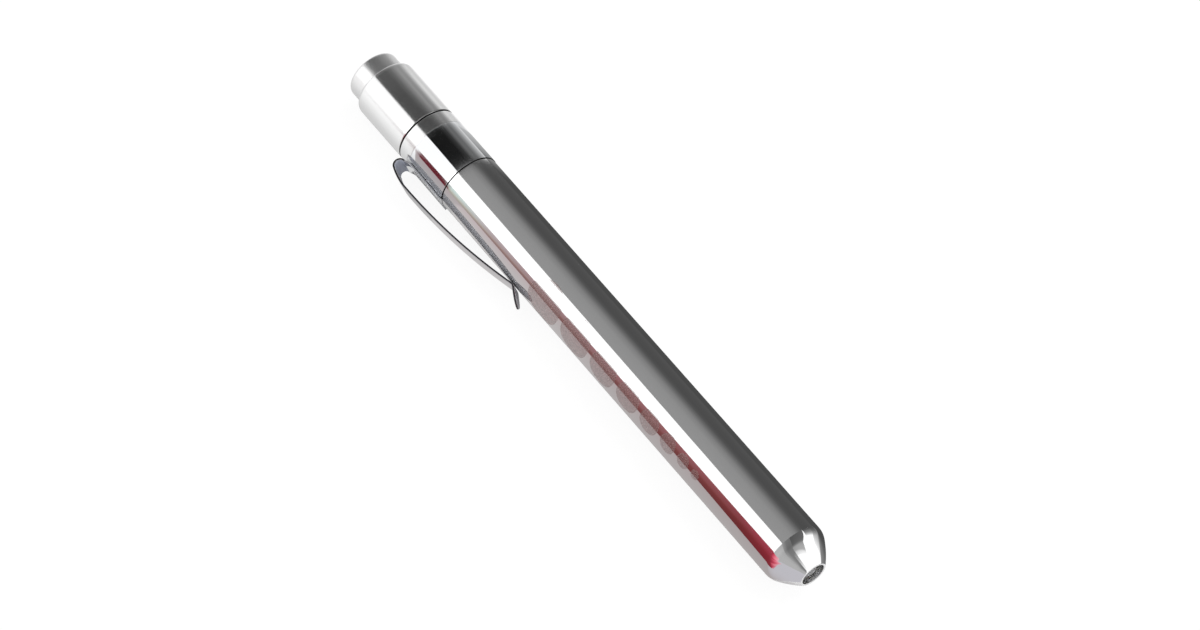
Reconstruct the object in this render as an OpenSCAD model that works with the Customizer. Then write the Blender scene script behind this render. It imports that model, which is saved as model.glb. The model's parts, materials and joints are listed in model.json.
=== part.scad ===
// A slim two-cell penlight, lying at rest on its cap, its barrel and the corner of its clip.
// X runs along the axis from the button's face to the nose, and the origin is on the axis at
// the button's face. The clip points low towards -Y, and the gauge looks out over it.

/* [Cells] */
// Diameter of a cell over its jacket
cell_d = 10.3; // [9.8:0.1:10.8]
// Length of a cell with its positive tip
cell_len = 44.5; // [42:0.5:48]
// Diameter of the positive tip
cell_tip_d = 3.8; // [3:0.1:4.5]
// Height of the positive tip
cell_tip_len = 0.8; // [0.6:0.1:1.2]
// Space round a cell in the barrel
cell_play = 0.3; // [0.2:0.05:0.5]

/* [Barrel] */
// Wall of the barrel
tube_wall = 0.9; // [0.8:0.05:1.3]
// Length of the cone nose
nose_len = 4.9; // [4:0.1:6.5]
// Wall of the cone nose
nose_wall = 0.8; // [0.6:0.05:1]
// Width of the flat rim round the opening
rim_w = 0.4; // [0.3:0.05:0.7]
// Diameter of the opening in the nose
opening_d = 4.8; // [4.5:0.1:5.2]
// Radius of the rounded shoulder
shoulder_round = 3; // [0.5:0.1:3]

/* [Clip band] */
// Length of the band that holds the clip
band_len = 10.5; // [9:0.5:12]
// Thickness of the band
band_t = 0.35; // [0.25:0.05:0.45]
// How far the band stands out of the barrel
band_proud = 0.1; // [0:0.01:0.15]

/* [Pocket clip] */
// Width of the clip at its hairpin
clip_w = 5.3; // [4.5:0.1:7]
// Width of the clip at its lip
clip_tip_w = 3.9; // [3:0.1:4.4]
// Thickness of the clip's sheet
clip_t = 0.4; // [0.3:0.05:0.5]
// Radius of the hairpin at the middle of the sheet
loop_r = 1.16; // [0.9:0.02:1.3]
// How steeply the strap leaves the hairpin in degrees
rise_deg = 22; // [15:1:30]
// Height of the strap's back above the barrel
clip_height = 3.78; // [3.5:0.02:4.5]
// From the hairpin to where the strap touches the barrel
clip_reach = 34.3; // [28:0.5:40]
// Length of the flared lip
lip_len = 3.8; // [3:0.1:6]
// Flare of the lip in degrees
lip_angle = 30; // [15:1:40]

/* [Tail cap] */
// Length of the cap
cap_len = 14.2; // [13:0.2:17]
// Wall of the cap
cap_wall = 0.73; // [0.6:0.01:0.9]
// How far the cap and the collar stand out of the barrel
cap_proud = 0.1; // [0:0.05:0.3]
// Radius of the cap's rounded end
cap_round = 1; // [0.4:0.1:1.5]
// Length of the collar that shows
collar_len = 3.15; // [2:0.05:5]
// Width of the seam between the cap and the collar
seam_w = 0.25; // [0.1:0.05:0.4]
// Length of the collar's threaded spigot in the barrel
spigot_len = 9.3; // [8:0.1:12]

/* [Push button] */
// How far the button stands out of the cap
button_proud = 4.1; // [3:0.1:5]
// How far the button goes in
button_travel = 1.5; // [1:0.1:2]
// Radius of the button's rounded edge
button_round = 0.8; // [0.3:0.1:1.2]
// Step from the cap's bore to the hole for the button
button_lip = 0.32; // [0.2:0.02:0.6]

/* [LED] */
// Diameter of the LED's dome
led_d = 5; // [4.6:0.1:5.2]
// Length of the LED without its leads
led_len = 8.6; // [8:0.1:9.5]
// Depth of the dome's tip behind the rim
led_recess = 0.4; // [0.2:0.05:1]
// Length of the leads behind the LED
lead_len = 4.9; // [4:0.1:7]

/* [Pupil gauge] */
// Diameter of the largest disc
gauge_first_d = 9; // [8.5:0.5:9.5]
// Difference from one disc to the next
gauge_shrink_d = 1; // [0.9:0.05:1.05]
// Space between two discs
gauge_gap = 1.05; // [0.5:0.05:2]
// From the band to the centre of the largest disc
gauge_start = 31.5; // [26:0.5:36]
// From the middle of the clip round to the row of discs in degrees
gauge_turn = 43; // [40:1:60]

/* [Hidden] */
$fn = 64;
// Every cut runs past its faces by this
overrun = 1;

// Clearances
snug = 0.02;
run_fit = 0.05;
stop_gap = 0.1;
touch_gap = 0.08;
lie_gap = 0.12;
board_fit = 0.05;
// Broken edges at the seam between the cap and the collar
edge_break = 0.15;
// How much the collar clamps the band before it meets the barrel
clamp_gap = 0.2;

// Radii from the cells outwards
cell_r = cell_d / 2;
bore_r = cell_r + cell_play;
barrel_r = bore_r + tube_wall;
band_r = barrel_r + band_proud;
band_in_r = band_r - band_t;
seat_r = band_in_r - snug;
cap_r = barrel_r + cap_proud;
opening_r = opening_d / 2;
rim_r = opening_r + rim_w;
cap_bore_r = cap_r - cap_wall;
button_hole_r = cap_bore_r - button_lip;
button_r = button_hole_r - run_fit;
flange_r = cap_bore_r - run_fit;
plug_r = cap_bore_r - snug;
spigot_r = bore_r - run_fit;
spigot_wall = 0.7;
collar_bore_r = spigot_r - spigot_wall;
collar_lip = 0.5;
collar_lip_r = collar_bore_r - collar_lip;
housing_r = collar_bore_r - run_fit;
housing_neck_r = collar_lip_r - run_fit;

// The button, its spring and the switch
button_face = 2.2;
cap_lip_len = 1.8;
flange_t = 0.8;
button_wall = 1.05;
button_well_r = button_r - button_wall;
housing_clear = 1.7;
housing_neck = 1.5;
collar_lip_len = 1.1;
housing_reach = 2.4;
pin_d = 2.4;
pin_r = pin_d / 2;
pin_seat = 1;
pin_hole_r = pin_r + run_fit;
plate_t = 0.4;
plate_edge = 0.2;
plate_r = collar_bore_r - plate_edge;
snap_t = 0.6;
snap_in = 0.55;
snap_out = 0.15;
snap_gap_deg = 40;
button_wire = 0.5;
button_coil_r = 3.3;
button_curls = 6;
spring_pocket = 0.8;
pocket_play = 0.15;
pocket_in_play = 0.4;
battery_wire = 0.6;
battery_coil_r = 3.4;
battery_coil_tip_r = 2.2;
battery_curls = 5;
spring_room = 1.4;
spring_rings = 8;
wire_sides = 6;

// The screw thread, drawn as rings
thread_pitch = 0.8;
thread_depth = 0.25;
thread_start = 1;
thread_end = 0.5;

// Stations along the axis, from the button's face
cap_x0 = button_proud;
cap_x1 = cap_x0 + cap_len;
collar_x0 = cap_x1 + seam_w;
collar_x1 = collar_x0 + collar_len;
band_x0 = collar_x1;
band_x1 = band_x0 + band_len;
barrel_x0 = band_x0 + clamp_gap;
cap_lip_x = cap_x0 + cap_lip_len;
flange_x0 = cap_lip_x + stop_gap;
flange_x1 = flange_x0 + flange_t;
housing_x0 = flange_x1 + button_travel + housing_clear;
plug_x0 = housing_x0 + housing_neck;
collar_lip_x = plug_x0 + collar_lip_len;
housing_step_x = collar_lip_x + stop_gap;
housing_x1 = collar_x1 + housing_reach;
plate_x1 = housing_x1 + plate_t;
snap_x0 = plate_x1 + stop_gap;
snap_x1 = snap_x0 + snap_t;
spigot_x1 = collar_x1 + spigot_len;
rear_cell_x = spigot_x1 + spring_room;
front_cell_x = rear_cell_x + cell_len;
rivet_x0 = front_cell_x + cell_len;

// The board, the LED and the nose
rivet_head_t = 0.8;
rivet_head_r = 1.6;
rivet_shank_r = 0.6;
rivet_upset_t = 0.3;
rivet_upset_r = 0.9;
washer_t = 0.3;
washer_w = 1.8;
board_t = 1;
board_ledge = 0.55;
holder_skirt = 0.8;
resistor_l = 2;
resistor_w = 1.25;
resistor_t = 0.5;
resistor_up = 2.4;
led_r = led_d / 2;
led_flange_w = 0.4;
led_flange_r = led_r + led_flange_w;
led_flange_t = 1;
led_flat = 0.15;
lead_w = 0.5;
lead_pitch = 2.54;
led_fit = 0.05;
holder_front = 0.3;
holder_back = 1.1;
holder_gap = 0.1;
board_x0 = rivet_x0 + rivet_head_t;
board_x1 = board_x0 + board_t;
board_r = spigot_r - holder_skirt - board_fit;
led_x0 = board_x1 + lead_len;
led_tip_x = led_x0 + led_len;
dome_x = led_tip_x - led_r;
nose_x = led_tip_x + led_recess;
shoulder_x = nose_x - nose_len;
holder_x1 = dome_x + holder_front;

// The cup on the LED's cathode: how far along the LED it sits, and its radii as shares
cup_at_share = 0.42;
cup_foot_share = 0.34;
cup_rim_share = 0.46;
cup_mouth_share = 0.34;
cup_floor_share = 0.18;
cup_x0 = led_x0 + cup_at_share * led_len;
cup_len = 1;
cup_depth = 0.6;
post_rise = 0.9;
head_t = 1;
head_bite = 0.1;

// The cone's wall is measured square to its face
nose_slope = (barrel_r - rim_r) / nose_len;
nose_deg = atan(nose_slope);
wall_across = nose_wall / cos(nose_deg);
function cone_in_r(x) = rim_r + (nose_x - x) * nose_slope - wall_across;
function cone_in_x(r) = nose_x - (r + wall_across - rim_r) / nose_slope;
shoulder_tangent = shoulder_round * tan(nose_deg / 2);
rim_round = 0.12;

// The clip in its own plane, with x along the axis and z away from it
plate_gap = 0.08;
loop_back = 0.7;
bend_r = 1.2;
root_lap = 0.9;
clip_plate_r = max(band_r, cap_r) + plate_gap + clip_t / 2;
loop_x = band_x0 - loop_back;
loop_z = clip_plate_r + loop_r;
touch_x = loop_x + clip_reach;
crest_z = barrel_r + clip_height - clip_t / 2;
// The strap rises from the hairpin to its crest on one arc, and bows down on a larger one
rise_x0 = loop_x - loop_r * sin(rise_deg);
rise_z0 = loop_z + loop_r * cos(rise_deg);
rise_r = (crest_z - rise_z0) / (1 - cos(rise_deg));
crest_x = rise_x0 + rise_r * sin(rise_deg);
touch_z = barrel_r + touch_gap + clip_t / 2;
bow_drop = crest_z - touch_z;
bow_run = touch_x - crest_x;
bow_deg = 2 * atan(bow_drop / bow_run);
bow_r = bow_run / sin(bow_deg) - bend_r;
// The strap turns about the back of its joint with the hairpin
hinge_x = loop_x - (loop_r + clip_t / 2) * sin(rise_deg);
hinge_z = loop_z + (loop_r + clip_t / 2) * cos(rise_deg);
lip_x0 = touch_x + bend_r * sin(lip_angle);
lip_z0 = touch_z + bend_r * (1 - cos(lip_angle));
clip_x1 = lip_x0 + lip_len * cos(lip_angle);
clip_taper = (clip_w - clip_tip_w) / (clip_x1 - loop_x);
function clip_half_w(x) = (clip_w - (x - loop_x) * clip_taper) / 2;

// The part lies on the cap, and the lower corner of the clip's crest just clears the floor
crest_out = barrel_r + clip_height;
crest_half_w = clip_half_w(crest_x);
crest_corner = norm([crest_out, crest_half_w]);
lie_deg = acos((cap_r - lie_gap) / crest_corner) + atan(crest_half_w / crest_out);

// The cells' small sizes
jacket_t = 0.1;
base_t = 0.5;
base_inset = 1.15;
base_proud = 0.15;
seal_w = 0.6;
seal_depth = 1.1;
can_round = 0.5;

// The gauge's discs, largest first
gauge_count = 8;
gauge_ink = 0.06;
gauge_sides = 48;
gauge_edge_x = band_x1 + gauge_start;
function disc_d(k) = gauge_first_d - k * gauge_shrink_d;
function disc_x(k) = k == 0 ? gauge_edge_x : disc_x(k - 1) + (disc_d(k - 1) + disc_d(k)) / 2 + gauge_gap;

arc_steps = 10;

// Points on an arc, as [x, z]
function arc(cx, cz, r, from, to, steps) =
    [for (k = [0:steps]) let (a = from + (to - from) * k / steps) [cx + r * cos(a), cz + r * sin(a)]];

// A turned piece from points given as [radius, x]
module turned(points) {
    rotate([0, 90, 0]) rotate_extrude() polygon(points);
}

// A ring between two radii and two stations
module ring(outer, inner, x0, x1) {
    turned([[inner, x0], [outer, x0], [outer, x1], [inner, x1]]);
}

// Turns what is drawn with z away from the axis to the side where the clip is
module clip_side() {
    rotate([180 - lie_deg, 0, 0]) children();
}

// The path of a spring's wire: straight for one wire at each end, and curls between
function spring_path(x0, x1, r0, r1, wire, curls) =
    let (n = spring_rings * curls)
    concat(
        [[x0, r0, 0]],
        [
            for (k = [0:n])
                [x0 + wire + (x1 - x0 - 2 * wire) * k / n, r0 + (r1 - r0) * k / n, 360 * k / spring_rings]
        ],
        [[x1, r1, 360 * curls]]
    );
function spring_point(p) = [p[0], p[1] * cos(p[2]), p[1] * sin(p[2])];
function spring_run(path, k) =
    let (a = spring_point(path[max(k - 1, 0)]), b = spring_point(path[min(k + 1, len(path) - 1)]))
    (b - a) / norm(b - a);
function spring_ring(path, k, wire) =
    let (
        p = spring_point(path[k]),
        out = [0, cos(path[k][2]), sin(path[k][2])],
        along = spring_run(path, k),
        side = cross(along, out),
        flat = side / norm(side)
    )
    [
        for (j = [0:wire_sides - 1])
            let (a = 360 * j / wire_sides) p + (out * cos(a) + flat * sin(a)) * wire / 2
    ];

module spring(x0, x1, r0, r1, wire, curls) {
    path = spring_path(x0, x1, r0, r1, wire, curls);
    last = len(path) - 1;
    points = [for (k = [0:last]) each spring_ring(path, k, wire)];
    start_faces = [for (j = [1:wire_sides - 2]) [0, j, j + 1]];
    top = last * wire_sides;
    end_faces = [for (j = [1:wire_sides - 2]) [top, top + j + 1, top + j]];
    side_faces = [
        for (k = [0:last - 1], j = [0:wire_sides - 1])
            let (a = k * wire_sides + j, b = k * wire_sides + (j + 1) % wire_sides)
            each [[a, a + wire_sides, b], [b, a + wire_sides, b + wire_sides]]
    ];
    polyhedron(points, concat(start_faces, end_faces, side_faces));
}

// The least gap of a spring to itself, between points at least half a curl apart
function spring_gap(x0, x1, r0, r1, wire, curls) =
    let (path = spring_path(x0, x1, r0, r1, wire, curls), half = spring_rings / 2, last = len(path) - 1)
    min([
        for (i = [0:last - half], j = [i + half:last])
            norm(spring_point(path[i]) - spring_point(path[j]))
    ]) - wire;

// Polished tube with a cone nose, a seat for the band and a bore for the cells
module barrel() {
    color("silver") turned(concat(
        [
            [bore_r, barrel_x0],
            [bore_r, cone_in_x(bore_r)],
            [opening_r, cone_in_x(opening_r)],
            [opening_r, nose_x],
            [rim_r - rim_round, nose_x],
            [rim_r, nose_x - rim_round]
        ],
        [
            for (k = [arc_steps:-1:0]) let (a = nose_deg * k / arc_steps) [
                barrel_r - shoulder_round * (1 - cos(a)),
                shoulder_x - shoulder_tangent + shoulder_round * sin(a)
            ]
        ],
        [[barrel_r, band_x1], [seat_r, band_x1], [seat_r, barrel_x0]]
    ));
}

// Bright ring that is clamped between the collar and the barrel's step
module clip_band() {
    color("gainsboro") ring(band_r, band_in_r, band_x0 + snug, band_x1 - snug);
}

// Plate that hugs the band, and the hairpin that carries the strap
module clip_root() {
    plate_in = clip_plate_r - clip_t / 2;
    plate_out = clip_plate_r + clip_t / 2;
    color("gainsboro") clip_side() {
        intersection() {
            ring(plate_out, plate_in, loop_x + root_lap, band_x1 - snug);
            translate([loop_x, -clip_w / 2, 0]) cube([band_x1 - loop_x, clip_w, plate_out]);
        }
        rotate([90, 0, 0]) translate([0, 0, -clip_w / 2]) linear_extrude(clip_w) polygon(concat(
            [[loop_x + root_lap, plate_out], [loop_x + root_lap, plate_in]],
            arc(loop_x, loop_z, loop_r + clip_t / 2, 270, 90 + rise_deg, 2 * arc_steps),
            arc(loop_x, loop_z, loop_r - clip_t / 2, 90 + rise_deg, 270, 2 * arc_steps)
        ));
    }
}

// Bowed strap with a flared lip that is rounded in plan
module pocket_clip() {
    half_t = clip_t / 2;
    start_deg = 90 + rise_deg - asin(snug / rise_r);
    rise_back = arc(crest_x, crest_z - rise_r, rise_r + half_t, start_deg, 90, arc_steps);
    rise_front = arc(crest_x, crest_z - rise_r, rise_r - half_t, start_deg, 90, arc_steps);
    bow_back = arc(crest_x, crest_z - bow_r, bow_r + half_t, 90, 90 - bow_deg, 2 * arc_steps);
    bow_front = arc(crest_x, crest_z - bow_r, bow_r - half_t, 90, 90 - bow_deg, 2 * arc_steps);
    bend_back = arc(touch_x, touch_z + bend_r, bend_r - half_t, 270 - bow_deg, 270 + lip_angle, arc_steps);
    bend_front = arc(touch_x, touch_z + bend_r, bend_r + half_t, 270 - bow_deg, 270 + lip_angle, arc_steps);
    lip_end = [lip_x0 + lip_len * cos(lip_angle), lip_z0 + lip_len * sin(lip_angle)];
    lip_out = [-sin(lip_angle), cos(lip_angle)] * half_t;
    tip_r = clip_tip_w / 2;
    color("gainsboro") clip_side() intersection() {
        rotate([90, 0, 0]) translate([0, 0, -clip_w / 2]) linear_extrude(clip_w) polygon(concat(
            rise_back,
            [for (k = [1:2 * arc_steps]) bow_back[k]],
            [for (k = [1:arc_steps]) bend_back[k]],
            [lip_end + lip_out, lip_end - lip_out],
            [for (k = [arc_steps:-1:1]) bend_front[k]],
            [for (k = [2 * arc_steps:-1:1]) bow_front[k]],
            [for (k = [arc_steps:-1:0]) rise_front[k]]
        ));
        linear_extrude(crest_out + overrun) polygon(concat(
            [[hinge_x, clip_w / 2], [loop_x, clip_w / 2]],
            arc(clip_x1 - tip_r, 0, tip_r, 90, -90, 2 * arc_steps),
            [[loop_x, -clip_w / 2], [hinge_x, -clip_w / 2]]
        ));
    }
}

// Eight printed discs that wrap round the barrel
module pupil_gauge() {
    color("dimgray") clip_side() rotate([-gauge_turn, 0, 0]) for (k = [0:gauge_count - 1]) {
        r = disc_d(k) / 2;
        intersection() {
            ring(barrel_r + gauge_ink, barrel_r, disc_x(k) - r - overrun, disc_x(k) + r + overrun);
            linear_extrude(barrel_r + overrun) polygon([
                for (j = [0:gauge_sides - 1]) let (a = 360 * j / gauge_sides)
                    [disc_x(k) + r * cos(a), barrel_r * sin(r * sin(a) / barrel_r * 180 / PI)]
            ]);
        }
    }
}

// The LED's leads and its cup stand on the axis, and the lens is cast round them
module lead(side, x1) {
    translate([board_x1, side * lead_pitch / 2 - lead_w / 2, -lead_w / 2])
        cube([x1 - board_x1, lead_w, lead_w]);
}

module led_cup_cut() {
    turned([
        [0, cup_x0 + head_t + cup_len - cup_depth],
        [cup_floor_share * led_r, cup_x0 + head_t + cup_len - cup_depth],
        [cup_mouth_share * led_r, cup_x0 + head_t + cup_len],
        [0, cup_x0 + head_t + cup_len]
    ]);
}

// Cathode lead with the reflector cup on its head
module led_anvil() {
    color("lightgray") {
        lead(-1, cup_x0 + head_t);
        translate([cup_x0, -lead_pitch / 2 - lead_w / 2, -lead_w / 2])
            cube([head_t, lead_pitch / 2 + lead_w + lead_w / 2, lead_w]);
        difference() {
            turned([
                [0, cup_x0 + head_t - head_bite],
                [cup_foot_share * led_r, cup_x0 + head_t - head_bite],
                [cup_rim_share * led_r, cup_x0 + head_t + cup_len],
                [0, cup_x0 + head_t + cup_len]
            ]);
            led_cup_cut();
        }
    }
}

// Anode lead with its small head
module led_post() {
    color("lightgray") lead(1, cup_x0 + head_t + post_rise);
}

// Yellow phosphor that fills the cup
module led_phosphor() {
    color("gold") led_cup_cut();
}

// Clear cast body with a dome, a flange and a flat on the cathode side
module led_lens() {
    color([0.85, 0.9, 0.95, 0.5]) difference() {
        turned(concat(
            [[0, led_x0], [led_flange_r, led_x0], [led_flange_r, led_x0 + led_flange_t]],
            [[led_r, led_x0 + led_flange_t]],
            [
                for (k = [0:2 * arc_steps]) let (a = 90 * k / (2 * arc_steps))
                    [led_r * cos(a), dome_x + led_r * sin(a)]
            ]
        ));
        translate([led_x0 - overrun, -led_flange_r - overrun, -led_flange_r])
            cube([led_flange_t + overrun, overrun + led_flange_r - led_r - led_flat, 2 * led_flange_r]);
        led_anvil();
        led_post();
        led_phosphor();
    }
}

// Insulating bush that fills the nose and centres the LED
module led_holder() {
    ledge_r = board_r + board_fit;
    color("white") turned([
        [ledge_r, board_x0],
        [spigot_r, board_x0],
        [spigot_r, cone_in_x(spigot_r + holder_gap)],
        [cone_in_r(holder_x1) - holder_gap, holder_x1],
        [led_r + led_fit, holder_x1],
        [led_r + led_fit, led_x0 + led_flange_t],
        [led_flange_r + led_fit, led_x0 + led_flange_t],
        [led_flange_r + led_fit, led_x0 - holder_back],
        [ledge_r - board_ledge, led_x0 - holder_back],
        [ledge_r - board_ledge, board_x1],
        [ledge_r, board_x1]
    ]);
}

// Round circuit board that the leads are soldered to
module contact_board() {
    color("darkgreen") ring(board_r, rivet_shank_r, board_x0, board_x1);
}

// Series resistor on the board
module board_resistor() {
    color("black") translate([board_x1, -resistor_l / 2, resistor_up - resistor_w / 2])
        cube([resistor_t, resistor_l, resistor_w]);
}

// Centre contact that the front cell presses on
module contact_rivet() {
    color("goldenrod") turned([
        [0, rivet_x0],
        [rivet_head_r, rivet_x0],
        [rivet_head_r, board_x0],
        [rivet_shank_r, board_x0],
        [rivet_shank_r, board_x1],
        [rivet_upset_r, board_x1],
        [rivet_upset_r, board_x1 + rivet_upset_t],
        [0, board_x1 + rivet_upset_t]
    ]);
}

// Ring that joins the board's edge to the barrel
module ground_washer() {
    color("goldenrod") ring(bore_r - snug, bore_r - snug - washer_w, board_x0 - washer_t, board_x0);
}

// Steel can of a cell with its positive tip towards the nose
module cell_can(x) {
    can_r = cell_r - jacket_t;
    top_x = x + cell_len - cell_tip_len;
    base_r = cell_r - base_inset;
    color("lightsteelblue") turned([
        [0, x + seal_depth],
        [base_r + seal_w, x + seal_depth],
        [base_r + seal_w, x + base_proud],
        [can_r, x + base_proud],
        [can_r, top_x - can_round],
        [can_r - can_round, top_x],
        [cell_tip_d / 2, top_x],
        [cell_tip_d / 2, x + cell_len],
        [0, x + cell_len]
    ]);
}

// Plastic jacket shrunk on a cell
module cell_jacket(x) {
    jacket_x1 = x + cell_len - cell_tip_len - can_round;
    color("slategray") ring(cell_r, cell_r - jacket_t, x + base_proud, jacket_x1);
}

// Insulating seal round the negative disc
module cell_seal(x) {
    base_r = cell_r - base_inset;
    color("black") turned([
        [0, x + base_t],
        [base_r, x + base_t],
        [base_r, x + base_proud],
        [base_r + seal_w, x + base_proud],
        [base_r + seal_w, x + seal_depth],
        [0, x + seal_depth]
    ]);
}

// Negative disc of a cell
module cell_base(x) {
    base_r = cell_r - base_inset;
    color("lightgray") turned([[0, x], [base_r, x], [base_r, x + base_t], [0, x + base_t]]);
}

// Conical spring that pushes the cells to the nose
module battery_spring() {
    color("silver")
        spring(plate_x1, rear_cell_x, battery_coil_r, battery_coil_tip_r, battery_wire, battery_curls);
}

// Plate between the spring and the switch
module contact_plate() {
    color("goldenrod") turned([[0, housing_x1], [plate_r, housing_x1], [plate_r, plate_x1], [0, plate_x1]]);
}

// Split ring that keeps the plate in the collar
module snap_ring() {
    color("dimgray") difference() {
        ring(collar_bore_r + snap_out, collar_bore_r - snap_in, snap_x0, snap_x1);
        translate([snap_x0 - overrun, 0, 0]) rotate([0, 90, 0]) linear_extrude(snap_t + 2 * overrun) polygon([
            [0, 0],
            [2 * bore_r * cos(snap_gap_deg / 2), 2 * bore_r * sin(snap_gap_deg / 2)],
            [2 * bore_r * cos(snap_gap_deg / 2), -2 * bore_r * sin(snap_gap_deg / 2)]
        ]);
    }
}

// Insulating spool that guides the pin
module switch_housing() {
    color("ivory") turned([
        [pin_hole_r, housing_x0],
        [button_coil_r - button_wire / 2 - pocket_in_play, housing_x0],
        [button_coil_r - button_wire / 2 - pocket_in_play, housing_x0 + spring_pocket],
        [button_coil_r + button_wire / 2 + pocket_play, housing_x0 + spring_pocket],
        [button_coil_r + button_wire / 2 + pocket_play, housing_x0],
        [housing_neck_r, housing_x0],
        [housing_neck_r, housing_step_x],
        [housing_r, housing_step_x],
        [housing_r, housing_x1],
        [pin_hole_r, housing_x1]
    ]);
}

// Satin cap with a rounded end and a hole for the button
module tail_cap() {
    color("lightgray") turned(concat(
        [[button_hole_r, cap_lip_x], [button_hole_r, cap_x0]],
        [
            for (k = [0:arc_steps]) let (a = 90 * k / arc_steps)
                [cap_r - cap_round * (1 - sin(a)), cap_x0 + cap_round * (1 - cos(a))]
        ],
        [[cap_r, cap_x1 - edge_break], [cap_r - edge_break, cap_x1]],
        [[cap_bore_r, cap_x1], [cap_bore_r, cap_lip_x]]
    ));
}

// Satin ring that plugs the cap at one end and screws into the barrel at the other
module thread_collar() {
    thread_x0 = collar_x1 + thread_start;
    turns = floor((spigot_len - thread_start - thread_end) / thread_pitch);
    color("lightgray") turned(concat(
        [
            [collar_lip_r, plug_x0],
            [plug_r, plug_x0],
            [plug_r, collar_x0],
            [cap_r - edge_break, collar_x0],
            [cap_r, collar_x0 + edge_break],
            [cap_r, collar_x1],
            [spigot_r, collar_x1]
        ],
        [
            for (k = [0:turns - 1]) let (x = thread_x0 + k * thread_pitch)
                each [[spigot_r, x], [spigot_r - thread_depth, x + thread_pitch / 2]]
        ],
        [
            [spigot_r, thread_x0 + turns * thread_pitch],
            [spigot_r, spigot_x1],
            [collar_bore_r, spigot_x1],
            [collar_bore_r, snap_x1],
            [collar_bore_r + snap_out, snap_x1],
            [collar_bore_r + snap_out, snap_x0],
            [collar_bore_r, snap_x0],
            [collar_bore_r, collar_lip_x],
            [collar_lip_r, collar_lip_x]
        ]
    ));
}

// Satin button with a rounded edge and a flange that stops it in the cap
module push_button() {
    color("lightgray") turned(concat(
        [[0, 0]],
        [
            for (k = [0:arc_steps]) let (a = 90 * k / arc_steps)
                [button_r - button_round * (1 - sin(a)), button_round * (1 - cos(a))]
        ],
        [
            [button_r, flange_x0],
            [flange_r, flange_x0],
            [flange_r, flange_x1],
            [button_well_r, flange_x1],
            [button_well_r, button_face],
            [pin_r, button_face],
            [pin_r, button_face - pin_seat],
            [0, button_face - pin_seat]
        ]
    ));
}

// Pin pressed in the button, that meets the plate when the button is in
module contact_pin() {
    pin_x1 = housing_x1 - button_travel - stop_gap;
    color("goldenrod")
        turned([[0, button_face - pin_seat], [pin_r, button_face - pin_seat], [pin_r, pin_x1], [0, pin_x1]]);
}

// Return spring between the button and the spool
module button_spring() {
    color("silver") spring(
        button_face, housing_x0 + spring_pocket, button_coil_r, button_coil_r, button_wire, button_curls);
}

echo(battery_spring_gap = spring_gap(
    plate_x1, rear_cell_x, battery_coil_r, battery_coil_tip_r, battery_wire, battery_curls));
echo(button_spring_gap = spring_gap(
    button_face, housing_x0 + spring_pocket, button_coil_r, button_coil_r, button_wire, button_curls));
echo(lie_deg = lie_deg, length = nose_x, barrel_r = barrel_r, barrel_shows = shoulder_x - band_x1);
echo(hinge = [hinge_x, hinge_z], bow_deg = bow_deg, rise_r = rise_r, bow_r = bow_r);
echo(stations = [cap_x0, cap_x1, collar_x0, collar_x1, band_x1, shoulder_x, nose_x]);
echo(clip = [loop_x, crest_x, touch_x, clip_x1], cap_r = cap_r);

barrel();
clip_band();
clip_root();
pocket_clip();
pupil_gauge();
led_lens();
led_anvil();
led_post();
led_phosphor();
led_holder();
contact_board();
board_resistor();
contact_rivet();
ground_washer();
cell_can(front_cell_x);  // front_cell_can
cell_jacket(front_cell_x);  // front_cell_jacket
cell_seal(front_cell_x);  // front_cell_seal
cell_base(front_cell_x);  // front_cell_base
cell_can(rear_cell_x);  // rear_cell_can
cell_jacket(rear_cell_x);  // rear_cell_jacket
cell_seal(rear_cell_x);  // rear_cell_seal
cell_base(rear_cell_x);  // rear_cell_base
battery_spring();
contact_plate();
snap_ring();
switch_housing();
tail_cap();
thread_collar();
push_button();
contact_pin();
button_spring();
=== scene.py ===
# %% [markdown]
# # A metal penlight, finished and lit
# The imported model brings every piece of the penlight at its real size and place, and the
# joints that move them. This lesson gives the pieces that show a finer mesh, gives every
# piece its finish, and then sets up the camera and the studio. A polished tube has almost no
# look of its own: it shows what stands round it. So about half of the work is in the studio.

# %% Load the model
import json
import math

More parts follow.
